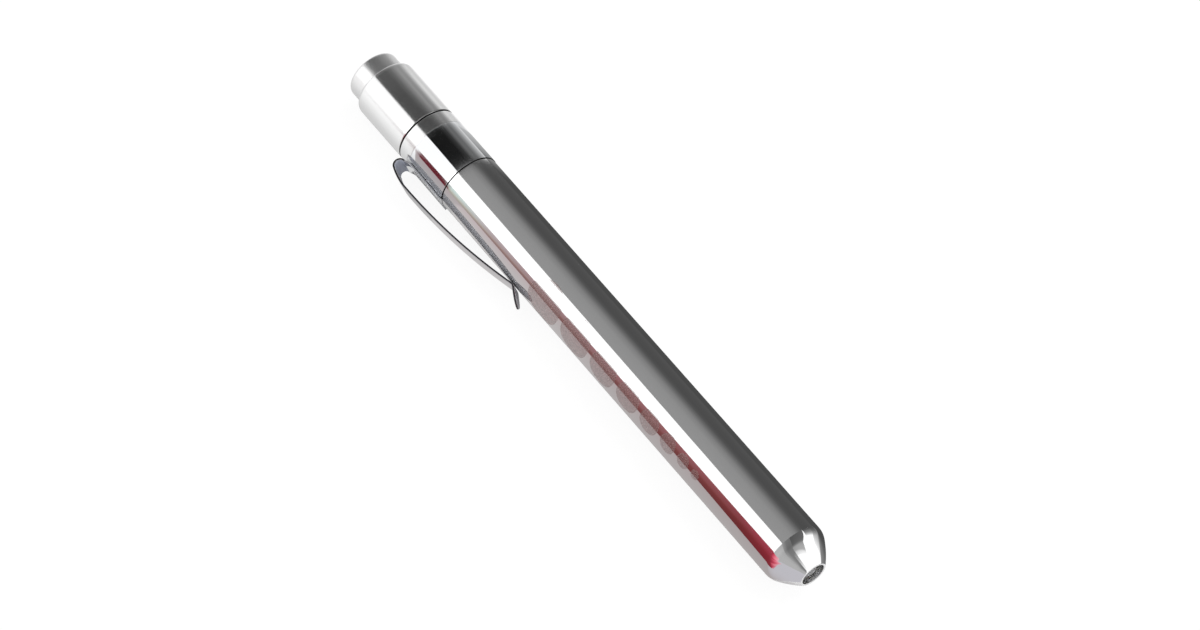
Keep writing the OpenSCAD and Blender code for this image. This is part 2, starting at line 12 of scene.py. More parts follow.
import bmesh
import bpy
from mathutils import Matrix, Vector


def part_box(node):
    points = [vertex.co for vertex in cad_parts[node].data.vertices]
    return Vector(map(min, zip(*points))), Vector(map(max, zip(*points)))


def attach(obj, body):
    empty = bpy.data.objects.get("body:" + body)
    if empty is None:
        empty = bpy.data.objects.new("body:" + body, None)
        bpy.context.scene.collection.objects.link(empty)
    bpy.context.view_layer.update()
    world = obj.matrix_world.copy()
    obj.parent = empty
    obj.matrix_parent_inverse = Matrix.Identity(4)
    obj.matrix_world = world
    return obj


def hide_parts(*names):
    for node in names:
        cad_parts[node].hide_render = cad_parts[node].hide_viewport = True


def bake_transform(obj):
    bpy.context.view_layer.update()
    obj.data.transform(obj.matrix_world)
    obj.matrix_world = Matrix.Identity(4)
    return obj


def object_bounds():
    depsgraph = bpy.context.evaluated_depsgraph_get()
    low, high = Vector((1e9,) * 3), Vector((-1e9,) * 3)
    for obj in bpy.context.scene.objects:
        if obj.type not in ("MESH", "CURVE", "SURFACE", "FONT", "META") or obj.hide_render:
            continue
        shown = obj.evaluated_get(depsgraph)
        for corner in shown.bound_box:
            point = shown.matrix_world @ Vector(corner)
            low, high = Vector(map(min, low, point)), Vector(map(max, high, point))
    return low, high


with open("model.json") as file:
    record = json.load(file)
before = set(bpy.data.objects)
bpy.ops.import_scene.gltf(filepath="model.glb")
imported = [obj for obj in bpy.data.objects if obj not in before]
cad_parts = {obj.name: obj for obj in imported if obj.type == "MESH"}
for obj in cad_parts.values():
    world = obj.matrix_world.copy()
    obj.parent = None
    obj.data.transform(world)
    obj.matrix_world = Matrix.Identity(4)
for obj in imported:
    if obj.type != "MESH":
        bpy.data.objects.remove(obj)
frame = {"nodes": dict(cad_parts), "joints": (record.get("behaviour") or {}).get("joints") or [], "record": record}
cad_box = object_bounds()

MM = 0.001
cad_size = [round(x / MM, 2) for x in cad_box[1] - cad_box[0]]
print("nodes", len(frame["nodes"]), "size in mm", cad_size)

# %% [markdown]
# ## Directions
# The penlight lies along X, with its button at the origin. The clip points low to one side,
# and its direction follows from the axis that the clip flexes about. Square to both is the
# direction from which the clip is seen edge on, which the camera stays close to.

# %% Name the directions
AXIS = Vector((1, 0, 0))
clip_joint = next(joint for joint in frame["joints"] if joint["name"] == "clip_flex")
FACE_ON = -Vector(clip_joint["axis"]).normalized()
CLIP_OUT = AXIS.cross(FACE_ON)
print("the clip points to", [round(x, 3) for x in CLIP_OUT])


# %% [markdown]
# ## Camera
# A long lens keeps the tube's sides nearly parallel, as in a catalogue picture. It leans from
# square on towards the nose, so that the nose's opening shows, and rolls a little round the
# axis towards the clip, so that the plate's narrow edge shows below its hairpin. The penlight
# lies across the picture from the upper left to the lower right. The camera's place is worked
# out from the point on the penlight that it looks at, and where that lands in the picture.

# %% Set up the camera
PICTURE = (1200, 630)
FOCAL_PX = 3950
SENSOR = 36
LEAN = math.radians(25.2)
SLANT = math.radians(48.6)
ROLL = math.radians(6)
look_at = AXIS * 68.61 * MM
look_px = (584.0, 313.9)
stand_off = 733 * MM

VIEW_ON = FACE_ON * math.cos(ROLL) + CLIP_OUT * math.sin(ROLL)
VIEW_OUT = CLIP_OUT * math.cos(ROLL) - FACE_ON * math.sin(ROLL)
to_camera = AXIS * math.sin(LEAN) + VIEW_ON * math.cos(LEAN)
away = AXIS * math.cos(LEAN) - VIEW_ON * math.sin(LEAN)
camera_right = away * math.cos(SLANT) - VIEW_OUT * math.sin(SLANT)
camera_up = -(away * math.sin(SLANT) + VIEW_OUT * math.cos(SLANT))
shift_right = (look_px[0] - PICTURE[0] / 2) / FOCAL_PX * stand_off
shift_up = (PICTURE[1] / 2 - look_px[1]) / FOCAL_PX * stand_off

lens = bpy.data.cameras.new("camera")
lens.sensor_width = SENSOR
lens.lens = FOCAL_PX / PICTURE[0] * SENSOR
camera = bpy.data.objects.new("camera", lens)
bpy.context.scene.collection.objects.link(camera)
camera.location = (
    look_at + to_camera * stand_off - camera_right * shift_right - camera_up * shift_up)
turn = camera.matrix_basis.to_3x3()
turn.col[0], turn.col[1], turn.col[2] = camera_right, camera_up, to_camera
camera.rotation_mode = "QUATERNION"
camera.rotation_quaternion = turn.to_quaternion()
bpy.context.scene.camera = camera
print("camera at", [round(x, 3) for x in camera.location])


# %% [markdown]
# ## Shader sums
# A finish is a small network of nodes. Wrapping a socket in a class lets that network be
# written as sums on values, and each sum adds its own Math node. Every other node comes from
# one method, which takes the node's type, its settings and what goes in at its sockets.

# %% Write node networks as sums
class Flow:
    """One output in a network of nodes, or the empty start of one."""

    def __init__(self, tree, socket=None):
        self.tree = tree
        self.socket = socket

    def node(self, kind, settings=None, sockets=None, out=0):
        made = self.tree.nodes.new(kind)
        for name, value in (settings or {}).items():
            if name == "stops":
                set_stops(made.color_ramp, value)
            else:
                setattr(made, name, value)
        for name, value in (sockets or {}).items():
            if isinstance(value, Flow):
                self.tree.links.new(value.socket, made.inputs[name])
            else:
                made.inputs[name].default_value = value
        return Flow(self.tree, made.outputs[out] if len(made.outputs) else None)

    def maths(self, operation, *terms):
        return self.node("ShaderNodeMath", {"operation": operation}, dict(enumerate(terms)))

    def __add__(self, other):
        return self.maths("ADD", self, other)

    def __sub__(self, other):
        return self.maths("SUBTRACT", self, other)

    def __rsub__(self, other):
        return self.maths("SUBTRACT", other, self)

    def __mul__(self, other):
        return self.maths("MULTIPLY", self, other)

    __radd__ = __add__
    __rmul__ = __mul__


def set_stops(ramp, stops):
    """Gives a ramp its stops, each a position and a grey or a colour."""
    while len(ramp.elements) < len(stops):
        ramp.elements.new(1)
    for element, (position, colour) in zip(ramp.elements, stops):
        grey = isinstance(colour, (int, float))
        element.position = position
        element.color = (colour, colour, colour, 1) if grey else (*colour, 1)


# %% [markdown]
# ## What every finish shares
# No real surface is even. Polish leaves hair lines and handling leaves faint smears, so each
# finish starts from a noise in the object's own metres. Stretching the noise along the axis
# gives the lines of lengthwise polishing, and squeezing it gives the rings of a lathe.

# %% Start a finish
def start_finish(name):
    material = bpy.data.materials.new(name)
    material.use_nodes = True
    material.node_tree.nodes.clear()
    return material, Flow(material.node_tree)


def noise(flow, spacing, detail=2.0):
    """A cloudy value from 0 to 1, whose clouds are about this size along X, Y and Z."""
    place = flow.node("ShaderNodeTexCoord", out="Object")
    scale = tuple(1 / s for s in spacing)
    scaled = flow.node(
        "ShaderNodeVectorMath", {"operation": "MULTIPLY"}, {0: place, 1: scale})
    return flow.node(
        "ShaderNodeTexNoise", sockets={"Vector": scaled, "Scale": 1.0, "Detail": detail})


def mixed(flow, share, low, high):
    """A colour between two colours, by a share from 0 to 1."""
    return flow.node(
        "ShaderNodeMix", {"data_type": "RGBA", "clamp_factor": True},
        {"Factor": share, "A": (*low, 1), "B": (*high, 1)}, out=2)


def end_finish(material, flow, surface):
    flow.node("ShaderNodeOutputMaterial", sockets={"Surface": surface})
    print(material.name, "nodes", len(material.node_tree.nodes))
    return material


def principled(flow, **sockets):
    named = {name.replace("_", " "): value for name, value in sockets.items()}
    return flow.node("ShaderNodeBsdfPrincipled", sockets=named)


def bump(flow, height, distance):
    return flow.node(
        "ShaderNodeBump", sockets={"Height": height, "Distance": distance, "Strength": 1.0})


# %% [markdown]
# ## Metals
# The tube is polished aluminium: a mirror, with hair lines along it and a trace of smear. The
# band and the clip are plated and have next to no lines. The cap, its collar and the button
# are satin, with lathe rings that soften the reflection along the axis.

# %% Make the metals
HAIR = 0.05 * MM
LONG_LINE = (6 * MM, HAIR, HAIR)
LATHE_LINE = (HAIR, 8 * MM, 8 * MM)
SMEAR = (9 * MM, 5 * MM, 5 * MM)


def polished_tube():
    material, flow = start_finish("polished_tube")
    smear = noise(flow, SMEAR, 3.0)
    lines = noise(flow, LONG_LINE)
    surface = principled(
        flow,
        Base_Color=mixed(flow, smear, (0.86, 0.86, 0.865), (0.9, 0.9, 0.9)),
        Metallic=1.0,
        Roughness=0.035 + smear * 0.03,
        Normal=bump(flow, lines, 0.0002 * MM),
    )
    return end_finish(material, flow, surface)


def bright_plate():
    material, flow = start_finish("bright_plate")
    smear = noise(flow, SMEAR, 3.0)
    surface = principled(
        flow,
        Base_Color=mixed(flow, smear, (0.8, 0.81, 0.83), (0.84, 0.85, 0.86)),
        Metallic=1.0,
        Roughness=0.025 + smear * 0.03,
    )
    return end_finish(material, flow, surface)


def satin_cap():
    material, flow = start_finish("satin_cap")
    rings = noise(flow, LATHE_LINE)
    smear = noise(flow, SMEAR, 3.0)
    surface = principled(
        flow,
        Base_Color=mixed(flow, smear, (0.82, 0.82, 0.82), (0.87, 0.87, 0.87)),
        Metallic=1.0,
        Roughness=0.1 + rings * 0.05 + smear * 0.03,
        Normal=bump(flow, rings, 0.0006 * MM),
    )
    return end_finish(material, flow, surface)


def blasted_button():
    material, flow = start_finish("blasted_button")
    grain = noise(flow, (0.1 * MM, 0.1 * MM, 0.1 * MM))
    smear = noise(flow, SMEAR, 3.0)
    surface = principled(
        flow,
        Base_Color=mixed(flow, smear, (0.8, 0.8, 0.8), (0.85, 0.85, 0.85)),
        Metallic=1.0,
        Roughness=0.24 + grain * 0.06 + smear * 0.04,
        Normal=bump(flow, grain, 0.001 * MM),
    )
    return end_finish(material, flow, surface)


def worn_metal(name, low, high, roughness, wear=0.15, metal=1.0):
    """A worn surface with clouds in its colour and its roughness. A metal of 0 has no mirror."""
    material, flow = start_finish(name)
    clouds = noise(flow, (1.5 * MM, 1.5 * MM, 1.5 * MM), 4.0)
    surface = principled(
        flow,
        Base_Color=mixed(flow, clouds, low, high),
        Metallic=metal,
        Roughness=roughness + clouds * wear,
    )
    return end_finish(material, flow, surface)


# %% [markdown]
# ## Ink, plastics and the LED's epoxy
# The gauge is a thin grey-brown ink printed on the metal. The metal's shine comes through it,
# darker, so the ink is mostly see-through. Light crosses the two faces of a disc twice, on its
# way to the metal and back, and so a small alpha is enough. The plastics inside are matte with
# fine clouds. The LED is clear epoxy, which bends light, and is a little milky.

# %% Make the ink, the plastics and the epoxy
def gauge_ink():
    material, flow = start_finish("gauge_ink")
    speckle = noise(flow, (0.2 * MM, 0.2 * MM, 0.2 * MM), 3.0)
    surface = principled(
        flow,
        Base_Color=mixed(flow, speckle, (0.36, 0.24, 0.23), (0.42, 0.28, 0.27)),
        Roughness=0.45 + speckle * 0.1,
        Alpha=0.16,
    )
    return end_finish(material, flow, surface)


def moulded(name, low, high, roughness):
    """A moulded plastic with fine clouds and a slight grain."""
    material, flow = start_finish(name)
    clouds = noise(flow, (0.8 * MM, 0.8 * MM, 0.8 * MM), 4.0)
    grain = noise(flow, (0.08 * MM, 0.08 * MM, 0.08 * MM))
    surface = principled(
        flow,
        Base_Color=mixed(flow, clouds, low, high),
        Roughness=roughness + clouds * 0.1,
        Normal=bump(flow, grain, 0.002 * MM),
    )
    return end_finish(material, flow, surface)


def clear_epoxy():
    material, flow = start_finish("clear_epoxy")
    haze = noise(flow, (0.5 * MM, 0.5 * MM, 0.5 * MM))
    surface = principled(
        flow,
        Base_Color=(0.97, 0.98, 1.0, 1.0),
        Roughness=0.02 + haze * 0.03,
        IOR=1.5,
        Transmission_Weight=0.75,
    )
    return end_finish(material, flow, surface)


# %% [markdown]
# ## One finish for each slot
# The record names a material slot for every node. A table from slot to finish then dresses
# the pieces inside too, which show when the cap is screwed back.

# %% Dress every node
finishes = {
    "polished_tube": polished_tube(),
    "bright_plate": bright_plate(),
    "satin_cap": satin_cap(),
    "gauge_ink": gauge_ink(),
    "clear_epoxy": clear_epoxy(),
    "tinned_lead": worn_metal("tinned_lead", (0.62, 0.62, 0.64), (0.78, 0.78, 0.8), 0.2),
    "brass_contact": worn_metal("brass_contact", (0.7, 0.5, 0.2), (0.83, 0.65, 0.32), 0.2),
    "cell_steel": worn_metal("cell_steel", (0.6, 0.61, 0.62), (0.72, 0.73, 0.74), 0.22),
    "spring_wire": worn_metal("spring_wire", (0.5, 0.5, 0.52), (0.66, 0.66, 0.68), 0.2),
    "phosphor": moulded("phosphor", (0.85, 0.66, 0.08), (0.95, 0.8, 0.2), 0.6),
    "white_plastic": moulded("white_plastic", (0.72, 0.72, 0.7), (0.82, 0.82, 0.8), 0.45),
    "black_plastic": moulded("black_plastic", (0.015, 0.015, 0.015), (0.04, 0.04, 0.04), 0.4),
    "board_green": moulded("board_green", (0.01, 0.13, 0.05), (0.03, 0.22, 0.08), 0.3),
    "cell_jacket": moulded("cell_jacket", (0.12, 0.14, 0.17), (0.2, 0.22, 0.26), 0.25),
}
for part in frame["record"]["subparts"]:
    mesh = frame["nodes"][part["node"]].data
    mesh.materials.clear()
    mesh.materials.append(finishes[part["material_slot"]])


# %% [markdown]
# ## Turned pieces
# The tube, the cap, the collar, the band and the button are all turned on a lathe, so each is
# an outline of stations and radii swept round the axis. Real edges are never knife sharp: a
# corner may carry a radius, which becomes an arc. A long straight stretch gets a guard point
# just off each arc, or the smooth shading of the arc would spread over the whole tube.

# %% Turn an outline round the axis
SIDES = 160
ARC_STEPS = 6
GUARD = 0.06 * MM
NO_RADIUS = 1e-8
SHARP = math.radians(32)


def rounded(corners, closed):
    """An outline whose corners that have a third value, a radius, are arcs."""
    points = []
    count = len(corners)
    for i, corner in enumerate(corners):
        here = Vector(corner[:2])
        if len(corner) == 2 or (not closed and i in (0, count - 1)):
            points.append(here)
            continue
        back = Vector(corners[i - 1][:2]) - here
        ahead = Vector(corners[(i + 1) % count][:2]) - here
        half = back.angle(ahead) / 2
        run = corner[2] / math.tan(half)
        back_unit, ahead_unit = back.normalized(), ahead.normalized()
        centre = here + (back_unit + ahead_unit).normalized() * corner[2] / math.sin(half)
        start, stop = here + back_unit * run, here + ahead_unit * run
        if back.length > run + 2 * GUARD:
            points.append(start + back_unit * GUARD)
        for k in range(ARC_STEPS + 1):
            points.append(centre + arc_arm(start - centre, stop - centre, k / ARC_STEPS))
        if ahead.length > run + 2 * GUARD:
            points.append(stop + ahead_unit * GUARD)
    return points


def arc_arm(start, stop, share):
    """The line from an arc's centre to a share of its length, from the lines to its two ends."""
    angle = start.angle(stop)
    arm = start * math.sin((1 - share) * angle) + stop * math.sin(share * angle)
    return arm / math.sin(angle)


def skin(bm, ring_a, ring_b):
    """Faces between two rings, either of which may be a single point."""
    made = []
    count = max(len(ring_a), len(ring_b))
    for k in range(count):
        corners = [
            ring_a[k % len(ring_a)], ring_a[(k + 1) % len(ring_a)],
            ring_b[(k + 1) % len(ring_b)], ring_b[k % len(ring_b)],
        ]
        made.append(bm.faces.new(list(dict.fromkeys(corners))))
    return made


def finish_piece(name, bm, slot, body, *nodes, finish=None, others=(), is_second=None):
    """Turns a bmesh into a smooth piece that takes a slot's finish and rides on a body.

    A piece may have a finish of its own, and others on some faces. The first of those goes
    where is_second says so, from a face's place along the axis and its distance from it.
    """
    bmesh.ops.recalc_face_normals(bm, faces=bm.faces)
    mesh = bpy.data.meshes.new(name)
    bm.to_mesh(mesh)
    bm.free()
    mesh.shade_smooth()
    mesh.set_sharp_from_angle(angle=SHARP)
    mesh.materials.append(finish or finishes[slot])
    for other in others:
        mesh.materials.append(other)
    if is_second:
        for face in mesh.polygons:
            centre = face.center
            face.material_index = int(is_second(centre.x, math.hypot(centre.y, centre.z)))
    piece = bpy.data.objects.new(name, mesh)
    bpy.context.scene.collection.objects.link(piece)
    if body:
        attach(piece, body)
    if nodes:
        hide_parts(*nodes)
    print(name, "faces", len(mesh.polygons))
    return piece


def turned(outline, closed=True, sides=SIDES, shape=None):
    """A bmesh of an outline swept round the axis. A shape changes the radius by place."""
    bm = bmesh.new()
    rings = []
    for x, r in outline:
        if r < NO_RADIUS:
            rings.append([bm.verts.new((x, 0, 0))])
            continue
        ring = []
        for k in range(sides):
            angle = 2 * math.pi * k / sides
            out = shape(x, r, angle) if shape else r
            ring.append(bm.verts.new((x, out * math.cos(angle), out * math.sin(angle))))
        rings.append(ring)
    follow = rings[1:] + rings[:1] if closed else rings[1:]
    for ring_a, ring_b in zip(rings, follow):
        skin(bm, ring_a, ring_b)
    return bm


def reach(node):
    """Where a turned node starts and ends along the axis, and its radius."""
    low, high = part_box(node)
    return low.x, high.x, (high.z - low.z) / 2


barrel_x0, nose_x, barrel_r = reach("barrel")
band_x0, band_x1, band_r = reach("clip_band")
cap_x0, cap_x1, cap_r = reach("tail_cap")
plug_x0, spigot_x1, collar_r = reach("thread_collar")
button_x0, flange_x1, flange_r = reach("push_button")
print("barrel radius in mm", round(barrel_r / MM, 3), "cap", round(cap_r / MM, 3))


# %% [markdown]
# ## Tube with its cone nose
# The tube is drawn aluminium, necked down to a cone at the front. Its outside was rolled, so
# the cone bulges a little: a short arc for the shoulder runs into a long one down to the rim,
# and the reflections bend round instead of breaking. At the back the tube steps down under
# the bright band, and its bore takes the cells.

# %% Turn the tube
bore_r = 5.45 * MM
seat_r = 6.03 * MM
rim_r = 2.8 * MM
opening_r = 2.4 * MM
nose_len = 4.9 * MM
nose_wall = 0.8 * MM
shoulder_round = 4 * MM
shoulder_deg = 30
rim_deg = 43
NOSE_STEPS = 12
rim_round = 0.12 * MM
edge_round = 0.08 * MM
seam_round = 0.12 * MM
# Painted shade: a near-black finish for the faces down in each seam between two parts, where the gap's shade falls
seam_shade = worn_metal("seam_shade", (0.02, 0.02, 0.02), (0.05, 0.05, 0.05), 0.5)

nose_slope = (barrel_r - rim_r) / nose_len
wall_across = nose_wall * math.hypot(1, nose_slope)
shoulder_x = nose_x - nose_len


def cone_in_x(radius):
    """Where the inside of the cone has this radius."""
    return nose_x - (radius + wall_across - rim_r) / nose_slope


mid_sin, mid_cos = math.sin(math.radians(shoulder_deg)), math.cos(math.radians(shoulder_deg))
rim_sin, rim_cos = math.sin(math.radians(rim_deg)), math.cos(math.radians(rim_deg))
cone_round = (barrel_r - rim_r - shoulder_round * (1 - mid_cos)) / (mid_cos - rim_cos)
mid_x = nose_x - cone_round * (rim_sin - mid_sin)
mid_r = barrel_r - shoulder_round * (1 - mid_cos)


def nose_point(radius, degrees):
    """The point of the nose's outline that leans this much, on its arc of this radius."""
    lean = math.radians(degrees)
    return (
        mid_x + radius * (math.sin(lean) - mid_sin), mid_r - radius * (mid_cos - math.cos(lean)))


cone_line = [
    *[
        nose_point(cone_round, rim_deg + (shoulder_deg - rim_deg) * k / NOSE_STEPS)
        for k in range(1, NOSE_STEPS)
    ],
    *[
        nose_point(shoulder_round, shoulder_deg * (1 - k / NOSE_STEPS))
        for k in range(NOSE_STEPS + 1)
    ],
]
shoulder_start = cone_line[-1][0]
cone_line.append((shoulder_start - GUARD, barrel_r))
print("shoulder from", round(shoulder_start / MM, 2), "cone's arc in mm", round(cone_round / MM, 1))

finish_piece(
    "tube",
    turned(rounded([
        (barrel_x0, bore_r),
        (cone_in_x(bore_r), bore_r),
        (cone_in_x(opening_r), opening_r),
        (nose_x, opening_r, edge_round),
        (nose_x, rim_r, rim_round),
        *cone_line,
        (band_x1, barrel_r, seam_round),
        (band_x1, seat_r),
        (barrel_x0, seat_r),
    ], closed=True)),
    "polished_tube", "penlight", "barrel", others=[seam_shade],
    # The tube's step under the band takes the painted seam shade
    is_second=lambda x, r: seat_r < r < barrel_r and x < band_x1 + seam_round)

# %% [markdown]
# ## Bright band
# A plated ring that carries the clip. It is pinched between the collar and the tube's step,
# so it shows as its own mirror between two dark hair lines. The one at the tube's step is
# painted shade: a near-black finish on the faces down in that seam.

# %% Turn the band
band_t = 0.35 * MM
hair_round = 0.02 * MM

finish_piece(
    "band",
    turned(rounded([
        (band_x0, band_r - band_t),
        (band_x1, band_r - band_t),
        (band_x1, band_r, seam_round),
        (band_x0, band_r, hair_round),
    ], closed=True)),
    "bright_plate", "penlight", "clip_band", others=[seam_shade],
    # The band's end at the tube's step takes the painted seam shade
    is_second=lambda x, r: x > band_x1 - seam_round)

# %% [markdown]
# ## Tail cap and button
# The cap is a thin turned shell with a rounded end and a hole for the button. The button is
# a cup with a flange that keeps it in, and a well inside for its spring.

# %% Turn the cap and the button
cap_wall = 0.73 * MM
cap_round = 1 * MM
cap_lip = 1.8 * MM
edge_break = 0.15 * MM
seam_depth = 0.05 * MM
hole_r = 5.4 * MM
button_r = 5.35 * MM
button_round = 0.8 * MM
button_web = 2.2 * MM
button_well_r = 4.3 * MM
flange_t = 0.8 * MM
bore_of_cap = cap_r - cap_wall

finish_piece(
    "cap_shell",
    turned(rounded([
        (cap_x0 + cap_lip, hole_r),
        (cap_x0, hole_r, edge_round),
        (cap_x0, cap_r, cap_round),
        (cap_x1, cap_r, edge_break),
        (cap_x1, bore_of_cap),
        (cap_x0 + cap_lip, bore_of_cap),
    ], closed=True)),
    "satin_cap", "cap", "tail_cap", others=[seam_shade],
    # The cap's end face at the collar takes the painted seam shade
    is_second=lambda x, r: x > cap_x1 - edge_break and bore_of_cap < r < cap_r - seam_depth)

finish_piece(
    "button_cup",
    turned(rounded([
        (button_x0, 0),
        (button_x0, button_r, button_round),
        (flange_x1 - flange_t, button_r),
        (flange_x1 - flange_t, flange_r),
        (flange_x1, flange_r),
        (flange_x1, button_well_r),
        (button_x0 + button_web, button_well_r),
        (button_x0 + button_web, 0),
    ], closed=False), closed=False),
    "satin_cap", "button", "push_button", finish=blasted_button())

# %% [markdown]
# ## Collar with its screw thread
# The collar plugs the cap at one end and screws into the tube at the other. The thread shows
# when the cap is screwed back, so it is a true helix: the radius falls and rises once for
# each turn, by how far the point has wound round, and fades out at both ends.

# %% Turn the collar and cut its thread
THREAD_RINGS = 10
THREAD_SIDES = 96
thread_pitch = 0.8 * MM
thread_depth = 0.25 * MM
thread_fade = 0.8 * MM
fit_gap = 0.02 * MM
spigot_r = 5.4 * MM
collar_bore_r = 4.7 * MM
collar_lip_r = 4.2 * MM
collar_lip_len = 1.1 * MM
plug_r = cap_r - cap_wall - fit_gap
seam_w = 0.25 * MM
collar_x0 = cap_x1 + seam_w
collar_x1 = band_x0 - fit_gap
thread_x0 = collar_x1 + 0.8 * MM
thread_x1 = spigot_x1 - 0.5 * MM


def thread(x, r, angle):
    """The spigot's radius with a V-shaped thread wound round it."""
    if r < spigot_r - NO_RADIUS or r > spigot_r + NO_RADIUS or not thread_x0 < x < thread_x1:
        return r
    wound = ((x - thread_x0) / thread_pitch - angle / (2 * math.pi)) % 1
    ends = min(1, (x - thread_x0) / thread_fade, (thread_x1 - x) / thread_fade)
    return r - thread_depth * ends * (1 - abs(2 * wound - 1))


thread_steps = round((thread_x1 - thread_x0) / thread_pitch * THREAD_RINGS)
thread_line = [
    (thread_x0 + (thread_x1 - thread_x0) * k / thread_steps, spigot_r)
    for k in range(1, thread_steps)
]
finish_piece(
    "collar",
    turned(rounded([
        (plug_x0, collar_lip_r),
        (plug_x0, plug_r),
        (collar_x0, plug_r),
        (collar_x0, collar_r, edge_break),
        (collar_x1, collar_r, hair_round),
        (collar_x1, spigot_r),
        *thread_line,
        (spigot_x1, spigot_r, edge_round),
        (spigot_x1, collar_bore_r),
        (plug_x0 + collar_lip_len, collar_bore_r),
        (plug_x0 + collar_lip_len, collar_lip_r),
    ], closed=True), sides=THREAD_SIDES, shape=thread),
    "satin_cap", "cap", "thread_collar", others=[seam_shade],
    # The collar's face in the seam with the cap takes the painted seam shade
    is_second=lambda x, r: cap_x1 < x < collar_x0 + edge_break and r < collar_r - seam_depth)

# %% [markdown]
# ## Pocket clip
# The clip is one strip of sprung sheet: a plate on the band, a hairpin, a bowed strap and a
# flared lip. It could be one mesh, but only the strap turns when the clip flexes. So the
# strip is swept in three stretches that share their end sections: the plate stays with the
# tube, the strap rides on its own body, and the hairpin sits between the two on no body. First
# comes the strip's middle line: the strap rises from the hairpin to its crest on one large arc and
# bows down to the tube on another, where a tight bend turns it up into the lip.

# %% Sweep a strip along the clip's middle line
clip_w = 5.3 * MM
clip_tip_w = 3.9 * MM
clip_t = 0.4 * MM
clip_edge = 0.1 * MM
clip_height = 3.78 * MM
clip_reach = 34.3 * MM
lip_len = 3.8 * MM
lip_angle = 30
plate_gap = 0.08 * MM
loop_r = 1.16 * MM
rise_deg = 22
bend_r = 1.2 * MM
touch_gap = 0.08 * MM

rise_sin, rise_cos = math.sin(math.radians(rise_deg)), math.cos(math.radians(rise_deg))
plate_z = cap_r + plate_gap + clip_t / 2
loop_x = clip_joint["pos_m"][0] + (loop_r + clip_t / 2) * rise_sin
loop_z = plate_z + loop_r
rise_x0, rise_z0 = loop_x - loop_r * rise_sin, loop_z + loop_r * rise_cos
crest_z = barrel_r + clip_height - clip_t / 2
rise_r = (crest_z - rise_z0) / (1 - rise_cos)
crest_x = rise_x0 + rise_r * rise_sin
touch_x = loop_x + clip_reach
touch_z = barrel_r + touch_gap + clip_t / 2
bow_deg = 2 * math.degrees(math.atan((crest_z - touch_z) / (touch_x - crest_x)))
bow_r = (touch_x - crest_x) / math.sin(math.radians(bow_deg)) - bend_r
lip_run = lip_len * math.cos(math.radians(lip_angle))
clip_x1 = touch_x + bend_r * math.sin(math.radians(lip_angle)) + lip_run
print("crest at", round(crest_x / MM, 2), "strap ends at", round(clip_x1 / MM, 2))

# Steps along each arc of the middle line, and along its straight ends
HAIRPIN_STEPS = 28
RISE_STEPS = 14
BOW_STEPS = 28
TOUCH_STEPS = 12
LIP_STEPS = 20
PLATE_STEPS = 16


def bend(centre_x, centre_z, radius, start, stop, steps):
    """Stations round an arc, each a place and the strip's heading, in degrees."""
    side = 90 if stop > start else -90
    stations = []
    for k in range(steps + 1):
        angle = start + (stop - start) * k / steps
        x = centre_x + radius * math.cos(math.radians(angle))
        z = centre_z + radius * math.sin(math.radians(angle))
        stations.append((x, z, angle + side))
    return stations


def strip_half_width(x):
    """Half of the strip's width: a slow taper, and a round end at the lip."""
    taper = (clip_w - clip_tip_w) / (clip_x1 - loop_x)
    straight = (clip_w - max(0, x - loop_x) * taper) / 2
    tip_r = clip_tip_w / 2
    past = x - (clip_x1 - tip_r)
    return min(straight, math.sqrt(max(tip_r**2 - past**2, 0))) if past > 0 else straight


# %% [markdown]
# ## The strip's section
# A section with rounded edges is set across the middle line at each station. The plate's
# sections are wrapped round the band, and they flatten towards the hairpin. Only the strip's
# outer side is plated bright. Its inner side is dull, and on the hairpin and the strap the
# stamped edges are painted near black: painted shade on the strip's narrow edges. So each
# face takes its material from the side of the section that it belongs to.

# %% Sweep the section
EDGE_STEPS = 4
EDGE_POINTS = EDGE_STEPS + 1


def side_of(k):
    """0 for a face on the strip's outer side, 1 on its stamped edges, 2 on its inner side."""
    if (k + EDGE_STEPS // 2 + 1) % (2 * EDGE_POINTS) < EDGE_POINTS:
        return 1
    return 2 if 2 * EDGE_POINTS <= k < 4 * EDGE_POINTS - EDGE_STEPS else 0


def strip_section(half_width, half_t):
    """Points round the strip's section, with rounded edges: sideways, then outwards."""
    edge = min(clip_edge, half_width / 2)
    points = []
    for quarter, (side, out) in enumerate(((1, 1), (-1, 1), (-1, -1), (1, -1))):
        for k in range(EDGE_POINTS):
            angle = math.radians(90 * (quarter + k / EDGE_STEPS))
            points.append((
                side * (half_width - edge) + edge * math.cos(angle),
                out * (half_t - edge) + edge * math.sin(angle)))
    return points


def strip(stations, hug=None):
    """A bmesh of the strip along its stations. A hug of 1 wraps it round the axis.

    Each side of the strip has a material of its own.
    """
    bm = bmesh.new()
    rings = []
    for x, z, heading in stations:
        ahead = math.radians(heading)
        rise_x, rise_z = -math.sin(ahead), math.cos(ahead)
        wrap = hug(x) if hug else 0
        ring = []
        for side, out in strip_section(max(strip_half_width(x), clip_edge), clip_t / 2):
            lift = z + out * rise_z
            if wrap > 0:
                angle = side * wrap / z
                arm = lift / wrap
                side, lift = arm * math.sin(angle), arm * (math.cos(angle) - 1) + lift
            point = AXIS * (x + out * rise_x) + CLIP_OUT * lift + FACE_ON * side
            ring.append(bm.verts.new(point))
        rings.append(ring)
    for ring_a, ring_b in zip(rings, rings[1:]):
        for k, face in enumerate(skin(bm, ring_a, ring_b)):
            face.material_index = side_of(k)
    bm.faces.new(rings[0])
    bm.faces.new(rings[-1]).material_index = 1
    return bm


plate_flat = 1.2 * MM


def plate_hug(x):
    """Flat at the hairpin, and wrapped round the band from there on."""
    share = min(1, max(0, (x - loop_x) / plate_flat))
    return share * share * (3 - 2 * share)
